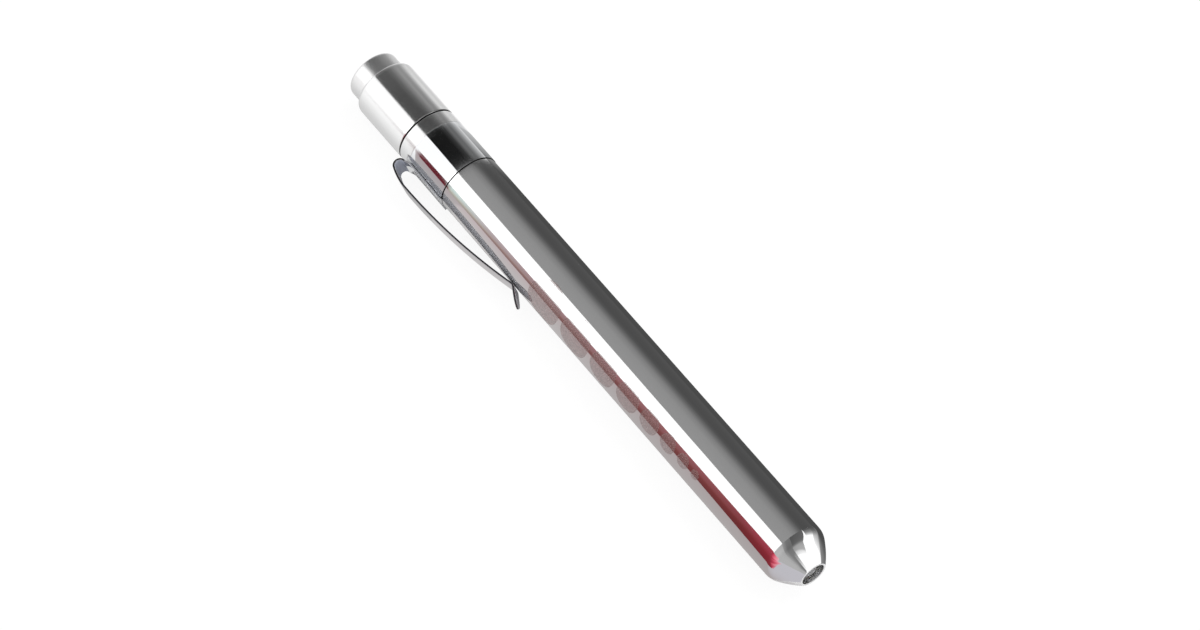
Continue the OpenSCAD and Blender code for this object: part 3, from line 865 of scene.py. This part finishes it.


# %% [markdown]
# ## Three stretches
# The plate, the hairpin and the strap meet at the same sections, so they look like one strip.
# The hairpin belongs to neither body: it is attached to none, and its mesh keeps its place.

# %% Build the three stretches
plate_line = [
    (band_x1 + (loop_x - band_x1) * k / PLATE_STEPS, plate_z, 180)
    for k in range(PLATE_STEPS + 1)
]
hairpin_line = bend(loop_x, loop_z, loop_r, 270, 90 + rise_deg, HAIRPIN_STEPS)
rise_line = bend(crest_x, crest_z - rise_r, rise_r, 90 + rise_deg, 90, RISE_STEPS)
bow_line = bend(crest_x, crest_z - bow_r, bow_r, 90, 90 - bow_deg, BOW_STEPS)
touch_line = bend(
    touch_x, touch_z + bend_r, bend_r, 270 - bow_deg, 270 + lip_angle, TOUCH_STEPS)
lip_x0, lip_z0 = touch_line[-1][:2]
lip_rise = lip_run * math.tan(math.radians(lip_angle))
lip_line = []
for k in range(1, LIP_STEPS + 1):
    gone = math.sin(math.radians(90 * k / LIP_STEPS))
    lip_line.append((lip_x0 + gone * lip_run, lip_z0 + gone * lip_rise, lip_angle))
strap_line = [*rise_line, *bow_line[1:], *touch_line[1:], *lip_line]

# Painted shade: the stamped edges of the hairpin and the strap are near black, as the shade on the strip's narrow
# edges
edge_shade = worn_metal("stamped_edge_shade", (0.07, 0.07, 0.075), (0.12, 0.12, 0.13), 0.08, 0.04)
plate_edge = worn_metal(
    "plate_edge", (0.3, 0.31, 0.34), (0.34, 0.35, 0.38), 0.45, 0.1, metal=0.0)
inner_side = worn_metal(
    "inner_side", (0.52, 0.55, 0.64), (0.58, 0.61, 0.7), 0.45, 0.1, metal=0.0)
inner_strap = worn_metal(
    "inner_strap", (0.46, 0.47, 0.5), (0.52, 0.53, 0.56), 0.45, 0.1, metal=0.0)
finish_piece(
    "clip_plate", strip(plate_line, plate_hug), "bright_plate", "penlight", "clip_root",
    others=[plate_edge, finishes["bright_plate"]])
hairpin = finish_piece(
    "clip_hairpin", strip(hairpin_line), "bright_plate", None, "clip_root",
    others=[edge_shade, inner_side])
finish_piece(
    "clip_strap", strip(strap_line), "bright_plate", "clip_strap", "pocket_clip",
    others=[edge_shade, inner_strap])
AXIS * loop_x + CLIP_OUT * plate_z
AXIS * rise_x0 + CLIP_OUT * rise_z0
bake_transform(hairpin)

# %% [markdown]
# ## Printed gauge
# Eight discs, 9 mm to 2 mm, are printed round the tube to compare with a pupil. Each one is
# a thin film that follows the tube, thickest in the middle and thinning out at its edge, as
# printed ink does. Distances round the tube stay true, so a disc looks oval from the side.

# %% Print the discs
GAUGE_SIDES = 96
gauge_turn = math.radians(43)
gauge_gap = 1.05 * MM
gauge_start = 31.5 * MM
gauge_sizes = [d * MM for d in range(9, 1, -1)]
ink_t = 0.05 * MM
ink_lift = 0.005 * MM
INK_RINGS = 18
ink_edge = [(0.97, 1), (0.99, 0.6), (1, 0)]
ink_shares = [(k / INK_RINGS, 1) for k in range(INK_RINGS)] + ink_edge
gauge_out = CLIP_OUT * math.cos(gauge_turn) + FACE_ON * math.sin(gauge_turn)
gauge_side = AXIS.cross(gauge_out)


def on_tube(x, round_the_tube, radius):
    """A point at this distance round the tube from the row's middle line."""
    angle = round_the_tube / barrel_r
    return AXIS * x + (gauge_out * math.cos(angle) + gauge_side * math.sin(angle)) * radius


def disc_ring(bm, x, radius, share, height):
    """A ring of a disc at a share of its radius, or its middle point."""
    if share == 0:
        return [bm.verts.new(on_tube(x, 0, height))]
    turns = [2 * math.pi * k / GAUGE_SIDES for k in range(GAUGE_SIDES)]
    return [
        bm.verts.new(on_tube(
            x + radius * share * math.cos(a), radius * share * math.sin(a), height))
        for a in turns
    ]


bm = bmesh.new()
disc_x = band_x1 + gauge_start
for k, size in enumerate(gauge_sizes):
    if k:
        disc_x += (gauge_sizes[k - 1] + size) / 2 + gauge_gap
    top = [
        disc_ring(bm, disc_x, size / 2, share, barrel_r + ink_lift + ink_t * height)
        for share, height in ink_shares
    ]
    under = [
        disc_ring(bm, disc_x, size / 2, share, barrel_r + ink_lift) for share, _ in ink_shares[:-1]]
    rings = [*top, *reversed(under)]
    for ring_a, ring_b in zip(rings, rings[1:]):
        skin(bm, ring_a, ring_b)
finish_piece("gauge_discs", bm, "gauge_ink", "penlight", "pupil_gauge")
print("the last disc is at", round(disc_x / MM, 1), "mm")

# %% [markdown]
# ## LED
# A clear 5 mm LED fills the nose's opening. Its dome is a half ball on a short cylinder, and
# the cup, the phosphor and the leads inside it are seen through the epoxy.

# %% Turn the LED's body
LED_STEPS = 24
LED_SIDES = 96
led_x0, led_tip_x, led_flange_r = reach("led_lens")
led_r = 2.5 * MM
led_flange_t = 1 * MM
dome_x = led_tip_x - led_r
led_dome = [
    (
        dome_x + led_r * math.sin(math.radians(90 * k / LED_STEPS)),
        led_r * math.cos(math.radians(90 * k / LED_STEPS)),
    )
    for k in range(LED_STEPS)
]
finish_piece(
    "led_body",
    turned([
        (led_x0, 0),
        (led_x0, led_flange_r),
        (led_x0 + led_flange_t, led_flange_r),
        (led_x0 + led_flange_t, led_r),
        *led_dome,
        (led_tip_x, 0),
    ], closed=False, sides=LED_SIDES),
    "clear_epoxy", "penlight", "led_lens")

# %% [markdown]
# ## Floor, sky and lamp
# The penlight lies on white paper under an even white sky, with one soft lamp. The paper is
# mostly its own white where the camera sees it, so that it stays white, and the rest of it
# takes light, so that it keeps the penlight's shadow.

# %% Lay the floor and light the sky
FLOOR_HALF = 3
FLOOR_WHITE_SHARE = 0.85
FLOOR_MIRRORED_SHARE = 0.05
FLOOR_GLOW = 1.06
SKY = 0.8
SKY_SHOWN = 1.2
WHITE = (1, 1, 1, 1)


def build_mesh(name, points, faces):
    mesh = bpy.data.meshes.new(name)
    mesh.from_pydata(points, [], faces)
    made = bpy.data.objects.new(name, mesh)
    bpy.context.scene.collection.objects.link(made)
    return made


def seen_share(flow, by_camera, by_mirror):
    """A value that differs between the camera's rays and those that metal or glass sends on."""
    camera_ray = flow.node("ShaderNodeLightPath", out="Is Camera Ray")
    glossy_ray = flow.node("ShaderNodeLightPath", out="Is Glossy Ray")
    glass_ray = flow.node("ShaderNodeLightPath", out="Is Transmission Ray")
    return camera_ray * by_camera + (glossy_ray + glass_ray) * by_mirror


floor_z = cad_box[0].z
floor_corners = [(-1, -1), (1, -1), (1, 1), (-1, 1)]
floor = build_mesh(
    "floor", [(FLOOR_HALF * x, FLOOR_HALF * y, floor_z) for x, y in floor_corners], [(0, 1, 2, 3)])
material, flow = start_finish("paper")
lit = flow.node("ShaderNodeBsdfDiffuse", sockets={"Color": (0.88, 0.88, 0.88, 1)})
white = flow.node("ShaderNodeEmission", sockets={"Color": WHITE, "Strength": FLOOR_GLOW})
share = seen_share(flow, FLOOR_WHITE_SHARE, FLOOR_MIRRORED_SHARE)
paper = flow.node("ShaderNodeMixShader", sockets={0: share, 1: lit, 2: white})
floor.data.materials.append(end_finish(material, flow, paper))

world = bpy.data.worlds.new("sky")
bpy.context.scene.world = world
world.use_nodes = True
world.node_tree.nodes.clear()
flow = Flow(world.node_tree)
strength = SKY + seen_share(flow, SKY_SHOWN - SKY, SKY_SHOWN - SKY)
sky = flow.node("ShaderNodeBackground", sockets={"Color": WHITE, "Strength": strength})
flow.node("ShaderNodeOutputWorld", sockets={"Surface": sky})

lamp_data = bpy.data.lights.new("soft_lamp", "AREA")
lamp_data.size = 0.6
lamp_data.energy = 2.5
lamp = bpy.data.objects.new("soft_lamp", lamp_data)
bpy.context.scene.collection.objects.link(lamp)
lamp.location = (0.2, 0.5, 0.9)
lamp.rotation_mode = "QUATERNION"
lamp.rotation_quaternion = (-lamp.location).to_track_quat("-Z", "Y")
lamp.visible_glossy = False
bpy.context.scene.view_settings.view_transform = "Standard"

# %% [markdown]
# ## What the tube shows
# White all round would leave a polished tube white. A photographer hangs cards and flags round
# it, and the tube shows each one as a stripe along it. Here each card is a piece of one large
# cylinder round the penlight's axis, so its edges show as straight lines on the tube. Where a
# card must be follows from the mirror law: a point on the tube that is turned by an angle from
# the camera shows what lies at twice that angle, further back along the axis.

# %% Work out the mirror's view
TENT_R = 300 * MM
eye_x = camera.location.x
eye_off = math.hypot(camera.location.y, camera.location.z) - barrel_r
horizon = math.degrees(math.atan2(-VIEW_OUT.y, -VIEW_OUT.z))
horizon_back = horizon - 180
print("the floor's horizon is at", round(horizon, 1), "and", round(horizon_back, 1), "degrees")


def shown_from(x, away_from_tube):
    """Where, along the axis, a thing stands that the tube shows at this station."""
    return x - away_from_tube * (eye_x - x) / eye_off


def station(place):
    """The station on the tube that shows a place on the large cylinder."""
    away = TENT_R - barrel_r
    return (place + away * eye_x / eye_off) / (1 + away / eye_off)


def spoke(degrees):
    """The direction off the axis that is turned this much from the camera towards the clip."""
    angle = math.radians(degrees)
    return VIEW_ON * math.cos(angle) + VIEW_OUT * math.sin(angle)


# %% [markdown]
# ## A card's light
# A plain card would show as a flat stripe, and a real one is brighter in some places than in
# others. So a card glows by itself, with one ramp along the tube and one across it, which are
# multiplied. It has no part in the room's light and throws no shadow: only mirrors see it.

# %% Make a glowing card
def glow(name, along, across, power):
    """A card's light, as the product of a change along it and a change across it."""
    material, flow = start_finish(name)
    place = flow.node("ShaderNodeTexCoord", out="UV")
    ramps = [
        flow.node(
            "ShaderNodeValToRGB", {"stops": stops},
            {"Fac": flow.node("ShaderNodeSeparateXYZ", sockets={"Vector": place}, out=axis)})
        for stops, axis in ((along, "X"), (across, "Y"))
    ]
    colour = flow.node(
        "ShaderNodeMix", {"data_type": "RGBA", "blend_type": "MULTIPLY"},
        {"Factor": 1.0, "A": ramps[0], "B": ramps[1]}, out=2)
    light = flow.node("ShaderNodeEmission", sockets={"Color": colour, "Strength": power})
    return end_finish(material, flow, light)


def hang(name, rows, along, across, power=1.0):
    """A card from its rows of two points. Its light changes along a row and from row to row."""
    points = [point for row in rows for point in row]
    last = len(rows) - 1
    faces = [(2 * k, 2 * k + 1, 2 * k + 3, 2 * k + 2) for k in range(last)]
    made = build_mesh(name, points, faces)
    layer = made.data.uv_layers.new(name="UVMap")
    for loop in made.data.loops:
        row, end = divmod(loop.vertex_index, 2)
        layer.data[loop.index].uv = (end, row / last)
    made.data.materials.append(glow(name, along, across, power))
    made.visible_camera = False
    made.visible_diffuse = False
    made.visible_transmission = False
    made.visible_volume_scatter = False
    made.visible_shadow = False


# %% [markdown]
# ## Cards by what shows them
# It is easier to say where on the tube a card is to show than where it stands. A curved card
# takes the two stations on the tube that are to show its ends, and the angles of its two
# edges. A floor card takes how near to the axis it comes.

# %% Place a card by its reflection
CARD_STEPS = 24
CARD_LIFT = 0.1 * MM


def spread(stops, low, high):
    """Stops given by real places, as shares of the way from low to high."""
    return [((place - low) / (high - low), colour) for place, colour in stops]


def curved_card(name, x0, x1, turns0, turns1, along, across, power=1.0, radius=TENT_R):
    """A card on the large cylinder, from the stations on the tube that are to show its ends.

    Its turns are in degrees from the camera towards the clip, for each of its two ends.
    """
    rows = []
    for k in range(CARD_STEPS + 1):
        row = []
        for x, (low, high) in ((x0, turns0), (x1, turns1)):
            out = spoke(low + (high - low) * k / CARD_STEPS)
            row.append(AXIS * shown_from(x, TENT_R - barrel_r) + out * radius)
        rows.append(row)
    hang(name, rows, spread(along, x0, x1), spread(across, *turns0), power)


def floor_card(name, x0, x1, near0, near1, side, layer, along, across=((0, 1), (1, 1))):
    """A card on the floor out to the large cylinder, from its near edge at each end."""
    rows = []
    for share in (0, 1):
        row = []
        for x, near in ((x0, near0), (x1, near1)):
            distance = near + (TENT_R - near) * share
            shown = shown_from(x, distance - barrel_r)
            row.append((shown, side * distance, floor_z + layer * CARD_LIFT))
        rows.append(row)
    hang(name, rows, spread(along, x0, x1), across)


# %% [markdown]
# ## Cards round the tube
# The upper half of the tube is dark at its far edge and mid grey in front, the bright band is
# nearly black there, and the satin cap is between the two. So each of them has a card of its
# own. A strong narrow light makes the white stripe, and behind the penlight a dark flag lies
# on the floor. The cards reach a little past the horizon, so no gap shows between them.

# %% Hang the cards round the tube
FAR = 700 * MM
OVERLAP = 1.5
back = horizon_back - OVERLAP
front = horizon + OVERLAP
tube_end = station(45 * MM)
past_nose = 480 * MM

curved_card(
    "tube_card", band_x1, tube_end, (back, 5), (back, 9),
    [(band_x1, 1.0), (tube_end, 1.0)],
    [
        (horizon_back, 0.095), (-96, 0.083), (-80, 0.08), (-70, 0.095), (-60, 0.15), (-48, 0.24),
        (-32, 0.3), (-10, 0.316), (5, 0.316),
    ])
curved_card(
    "band_card", collar_x1, band_x1, (back, 1), (back, 3),
    [(collar_x1, 1.0), (band_x1, 1.0)],
    [
        (horizon_back, 0.8), (-112, 0.56), (-97, 0.3), (-86, 0.16), (-74, 0.155), (-62, 0.045),
        (-46, 0.012), (1, 0.01),
    ])
curved_card(
    "cap_card", cap_x0, collar_x1, (back, 1), (back, 3),
    [(cap_x0, 1.0), (collar_x1, 1.0)],
    [
        (horizon_back, 0.85), (-111, 0.82), (-103, 0.54), (-95, 0.33), (-87, 0.3), (-79, 0.37),
        (-68, 0.26), (-56, 0.14), (-40, 0.07), (1, 0.055),
    ])
curved_card(
    "button_card", -FAR, cap_x0, (back, 1), (back, 1),
    [(-FAR, 1.0), (cap_x0, 1.0)],
    [(horizon_back, 0.5), (-84, 0.34), (-56, 0.2), (-36, 0.15), (1, 0.17)])
tail_x = shown_from(-FAR, TENT_R)
tail_spokes = [spoke(back + (1 - back) * k / CARD_STEPS) for k in range(CARD_STEPS + 1)]
hang(
    "tail_card", [[AXIS * tail_x, AXIS * tail_x + out * TENT_R] for out in tail_spokes],
    [(0, 1), (1, 1)], [(0, 0.5), (0.3, 0.34), (0.6, 0.2), (1, 0.17)])
floor_card(
    "pale_floor_behind", -FAR, collar_x1, 9 * MM, 9 * MM, 1, 1, [(-FAR, 1.0), (collar_x1, 1.0)],
    [
        (0, 1.05), (0.017, 0.96), (0.028, 0.91), (0.043, 0.8), (0.067, 0.71), (0.113, 0.7),
        (0.237, 0.75), (1, 0.8),
    ])
# This card grows darker towards its near edge by the penlight: painted shade of the penlight on the paper
floor_card(
    "pale_floor_before", -FAR, collar_x1, 5 * MM, 5 * MM, -1, 1, [(-FAR, 1.0), (collar_x1, 1.0)],
    [
        (0, 0.68), (0.012, 0.72), (0.027, 0.82), (0.05, 0.95), (0.115, 1.08), (0.258, 1.14),
        (1, 1.2),
    ])
floor_card(
    "dark_floor", collar_x1, past_nose, 9 * MM, 9 * MM, 1, 2,
    [
        (collar_x1, 0.56), (26 * MM, 0.38), (30 * MM, 0.12), (band_x1, 0.075),
        (shoulder_x, 0.075), (140 * MM, 0.22), (180 * MM, 0.35), (past_nose, 0.35),
    ])
curved_card(
    "light_strip", band_x1, shoulder_start, (10, 50), (14, 43),
    [(band_x1, 1.0), (shoulder_start, 1.0)], [(10, 1), (50, 1)], power=3.0)

# %% [markdown]
# ## A red thing beside it
# A thin dark red stripe runs along the lower side of the tube. It isn't printed: it is cut
# off by the band, it widens towards the nose and it lies under the gauge's ink. It is the
# reflection of something dark red that lies beside the penlight, so here it is a low card
# at the horizon that also lies on the floor, closer to the tube at the nose. Its far edge is
# greyer. Its far end catches the light, and the shoulder shows that as a bright spot.

# %% Lay the red cards
band_red = (0.15, 0.022, 0.032)
nose_red = (0.3, 0.03, 0.05)
stripe_colours = [
    (33.2 * MM, (0.5, 0.37, 0.4)), (45 * MM, (0.36, 0.19, 0.22)),
    (60 * MM, (0.27, 0.11, 0.13)), (80 * MM, (0.23, 0.07, 0.085)),
    (104 * MM, (0.21, 0.047, 0.057)), (122 * MM, (0.19, 0.026, 0.035)),
    (129 * MM, (0.25, 0.02, 0.035)), (nose_x, nose_red),
]
far_tint = (1.3, 2.1, 1.85)
red_x0 = collar_x1 + 1.2 * MM
red_stops = [(red_x0, band_red), (band_x1, band_red)]

curved_card(
    "stripe_wall", band_x1, nose_x, (54, front), (47, front), stripe_colours,
    [(54, (1.6, 2.6, 2.3)), (front, far_tint)])
curved_card(
    "stripe_on_band", red_x0, band_x1, (55, front), (54, front), red_stops,
    [(55, 1), (front, 1)])
floor_card(
    "stripe_floor", band_x1, nose_x, 40 * MM, 15 * MM, -1, 2, stripe_colours,
    [
        (0, (0.85, 1.1, 0.9)), (0.08, (1.0, 1.3, 1.05)), (0.23, (1.25, 1.8, 1.5)),
        (1, far_tint),
    ])
floor_card(
    "stripe_floor_on_band", red_x0, band_x1, 56 * MM, 50 * MM, -1, 2, red_stops)

spot_colours = [
    (0, (0.36, 0.03, 0.06)), (0.25, (0.7, 0.09, 0.14)), (0.6, (0.95, 0.26, 0.34)),
    (1, (0.8, 0.5, 0.56)),
]
spot_end = station(250 * MM)
spot_stops = [(nose_x + share * (spot_end - nose_x), colour) for share, colour in spot_colours]
curved_card(
    "red_end_wall", nose_x, spot_end, (48, front), (52, front), spot_stops,
    [(48, 1), (front, 1)], radius=0.99 * TENT_R)
# How far from the axis a row lies on the floor, and its two ends along the axis
spot_places = [(15.5, 131.4, 135.5), (27, 127, 143), (75, 109.3, 178), (300, 26.2, 240)]
spot_z = floor_z + 2 * CARD_LIFT
spot_rows = [
    [(x * MM, -distance * MM, spot_z) for x in ends] for distance, *ends in spot_places]
hang("red_end_floor", spot_rows, spot_colours, [(0, 0.7), (0.33, 0.85), (1, 1)])

# %% [markdown]
# ## Shaded paper before it
# The lower side of the tube shows the paper before the penlight, lying in the penlight's shade.
# In the photograph that is a warm grey, with a trace of the red in it, and colder under the
# nose. These glowing cards are painted shade: they give the mirror that shaded paper.

# %% Lay the near floor
floor_card(
    "ahead_floor_shade", shoulder_x, past_nose, 5 * MM, 5 * MM, -1, 1,
    [
        (shoulder_x, (0.46, 0.43, 0.44)), (134 * MM, (0.55, 0.53, 0.56)),
        (nose_x, (0.57, 0.56, 0.6)), (past_nose, (0.6, 0.59, 0.63)),
    ])
pink = (1, 0.85, 0.87)
# Painted shade of the penlight on the paper beside the tube, with a pink cast
floor_card(
    "near_floor_shade", collar_x1, shoulder_x, 5 * MM, 5 * MM, -1, 1,
    [
        (collar_x1, (0.48, 0.48, 0.48)), (band_x1, (0.5, 0.5, 0.5)),
        (33 * MM, (0.6, 0.59, 0.59)), (58 * MM, (0.56, 0.54, 0.54)),
        (85 * MM, (0.48, 0.45, 0.45)), (shoulder_x, (0.44, 0.41, 0.41)),
    ],
    [(0, (1, 1, 1)), (0.02, (1, 0.98, 0.98)), (0.07, (1, 0.9, 0.91)), (0.12, pink), (1, pink)])

# %% [markdown]
# ## Cards for the cone
# The cone leans forward, so it shows what stands far ahead of the nose. Most of its upper
# half stays white. The tube's cards fade out to that white over the shoulder, sooner on top
# than in front. The lower half shows a pale grey, with a thin darker line on its upper edge.
# That line winds round the cone, so the edges of the cards about it slant.

# %% Hang the cards ahead of the nose
def ahead_card(name, turns0, turns1, across, *along):
    """A card from the tube's cards forward. Its values are given by real places in mm."""
    stops = [(station(place * MM), value) for place, value in along]
    first = (tube_end, along[0][1])
    curved_card(name, tube_end, stops[-1][0], turns0, turns1, [first, *stops], across)


ahead_card(
    "high_end", (back, -100), (back, -100), [(back, 1), (-100, 1)],
    (60, 0.1), (114, 0.16), (164, 0.35), (217, 0.6), (270, 1.0))
ahead_card(
    "upper_end", (-100, -70), (-100, -70), [(-100, 1), (-70, 1)],
    (60, 0.1), (130, 0.26), (165, 0.5), (205, 1.0))
ahead_card(
    "shoulder_card", (-70, -20), (-48, -4), [(-70, 1), (-35, 0.85), (-20, 0.75)],
    (60, 0.13), (170, 0.14), (256, 0.16), (300, 0.25), (354, 0.45), (395, 0.5), (412, 0.9),
    (450, 1.2))
ahead_card(
    "cone_fade", (-20, -14), (6, 24), [(-20, 1), (-14, 1)],
    (60, 0.19), (259, 0.165), (401, 0.22), (432, 0.34), (507, 0.53), (612, 0.88), (700, 1.1))
ahead_card(
    "line_card", (-14, 10), (24, 48), [(-14, 0.7), (-4, 0.75), (10, 1.3)],
    (60, 0.27), (172, 0.25), (256, 0.22), (400, 0.31), (497, 0.33), (550, 0.28), (700, 0.3))
ahead_card(
    "side_card", (10, front), (48, front), [(10, 0.9), (30, 1), (front, 1)],
    (60, 0.5), (168, 0.54), (249, 0.48), (469, 0.49), (550, 0.45), (700, 0.55))
